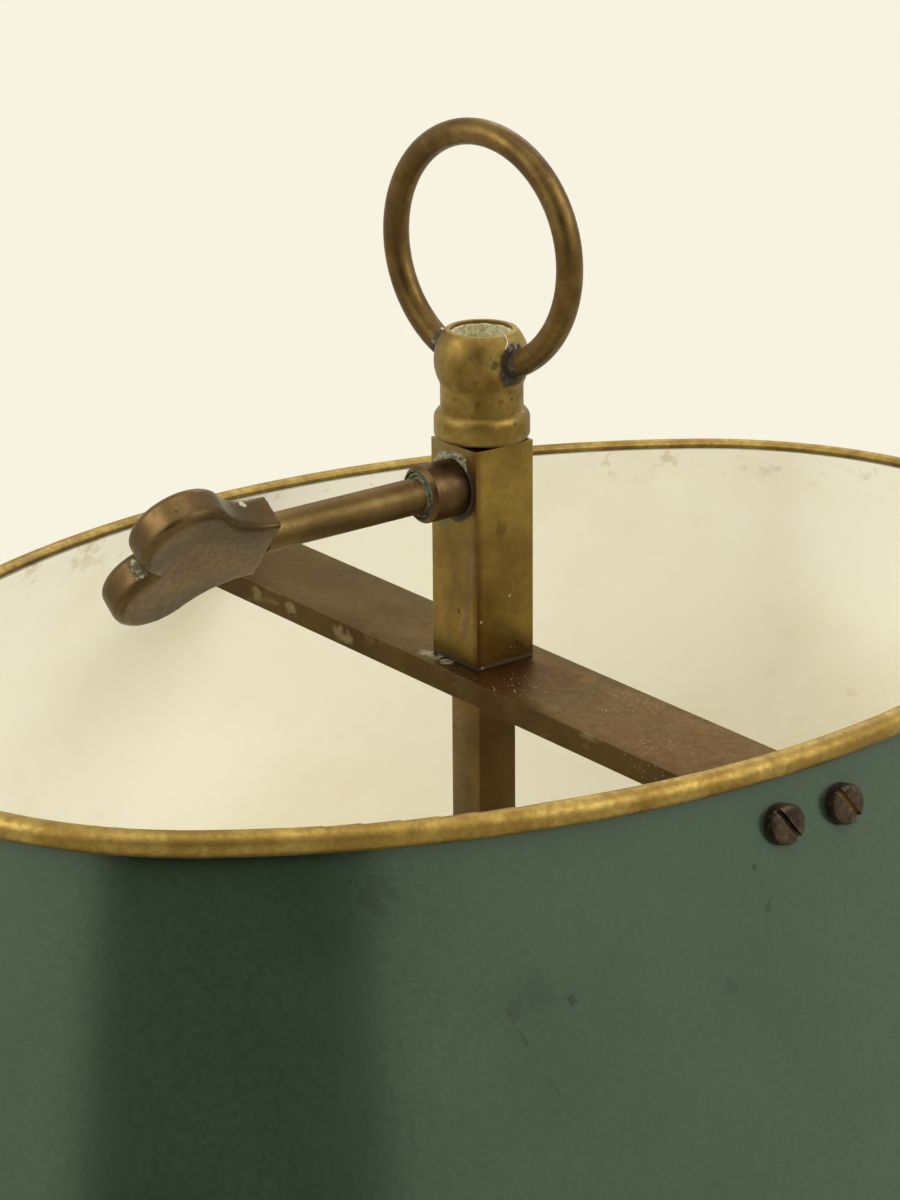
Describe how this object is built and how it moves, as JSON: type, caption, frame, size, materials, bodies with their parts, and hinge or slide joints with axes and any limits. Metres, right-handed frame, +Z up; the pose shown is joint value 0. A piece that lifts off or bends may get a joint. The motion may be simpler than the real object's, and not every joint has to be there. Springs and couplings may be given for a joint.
{
  "type": "bouillotte lamp",
  "caption": "Bouillotte table lamp: dished base, stem with candle arms, and an oval metal shade that slides on a square post under a heart-shaped thumb screw.",
  "frame": {"origin": "centre of the base's underside, on the surface that the lamp stands on", "axes": "+Z up along the post; X along the shade's crossbar; Y along the two arms, with the thumb screw on the -Y side"},
  "size_m": [0.261, 0.3358, 0.5522],
  "materials": {
    "stem_brass": "aged satin",
    "aged_brass": "olive-gold patina with fine scratches",
    "brown_brass": "brown patina with fine scratches and pale specks",
    "gilt_bead": "rubbed gilt",
    "fitting_brass": "satin",
    "hidden_steel": "plated",
    "screw_steel": "dark oxide, slots rubbed bright",
    "shade_paint": "satin mottled green outside, cream inside",
    "felt": "matt",
    "weight_iron": "rough cast",
    "candle_card": "matt cream",
    "dark_moulding": "moulded, slightly glossy",
    "bulb_metal": "bright",
    "bulb_glass": "clear",
    "lead_cover": "matt"
  },
  "bodies": {
    "stand": {"felt_pad": "felt", "base_foot": "stem_brass", "base_weight": "weight_iron", "base_dish": "stem_brass", "cord_bush": "fitting_brass", "terminal_block": "candle_card", "tie_rod": "hidden_steel", "lower_nut": "hidden_steel", "pedestal": "stem_brass", "switch_body": "dark_moulding", "switch_ring": "fitting_brass", "column": "stem_brass", "hub_body": "stem_brass", "upper_nut": "hidden_steel", "hub_cap": "stem_brass", "inner_leads": "lead_cover", "arm_front": "stem_brass", "arm_rear": "stem_brass", "drip_pan_front": "stem_brass", "drip_pan_rear": "stem_brass", "candle_cup_front": "stem_brass", "candle_cup_rear": "stem_brass", "candle_sleeve_front": "candle_card", "candle_sleeve_rear": "candle_card", "lamp_holder_front": "dark_moulding", "lamp_holder_rear": "dark_moulding", "bulb_cap_front": "bulb_metal", "bulb_cap_rear": "bulb_metal", "bulb_glass_front": "bulb_glass", "bulb_glass_rear": "bulb_glass", "bulb_filaments": "bulb_metal", "post": "aged_brass", "post_screw": "hidden_steel", "finial_stud": "hidden_steel", "finial": "aged_brass", "carry_ring": "aged_brass"},
    "shade": {"shade_shell": "shade_paint", "top_rim": "gilt_bead", "bottom_rim": "gilt_bead", "crossbar": "brown_brass", "post_sleeve": "aged_brass", "screw_boss": "brown_brass", "crossbar_screws": "screw_steel"},
    "thumb_screw": {"thumb_rod": "brown_brass", "heart_key": "brown_brass"},
    "switch_knob": {"switch_knob": "fitting_brass"}
  },
  "joints": [
    {"name": "shade_slide", "type": "slide", "parent": "stand", "child": "shade", "axis": [0, 0, 1], "range_m": [-0.181, 0]},
    {"name": "key_turn", "type": "hinge", "parent": "shade", "child": "thumb_screw", "pos_m": [0, -0.014, 0.4879], "axis": [0, 1, 0], "range_deg": [-450, 0]},
    {"name": "switch_turn", "type": "hinge", "parent": "stand", "child": "switch_knob", "pos_m": [0.04, 0, 0.0411], "axis": [1, 0, 0], "continuous": true}
  ]
}
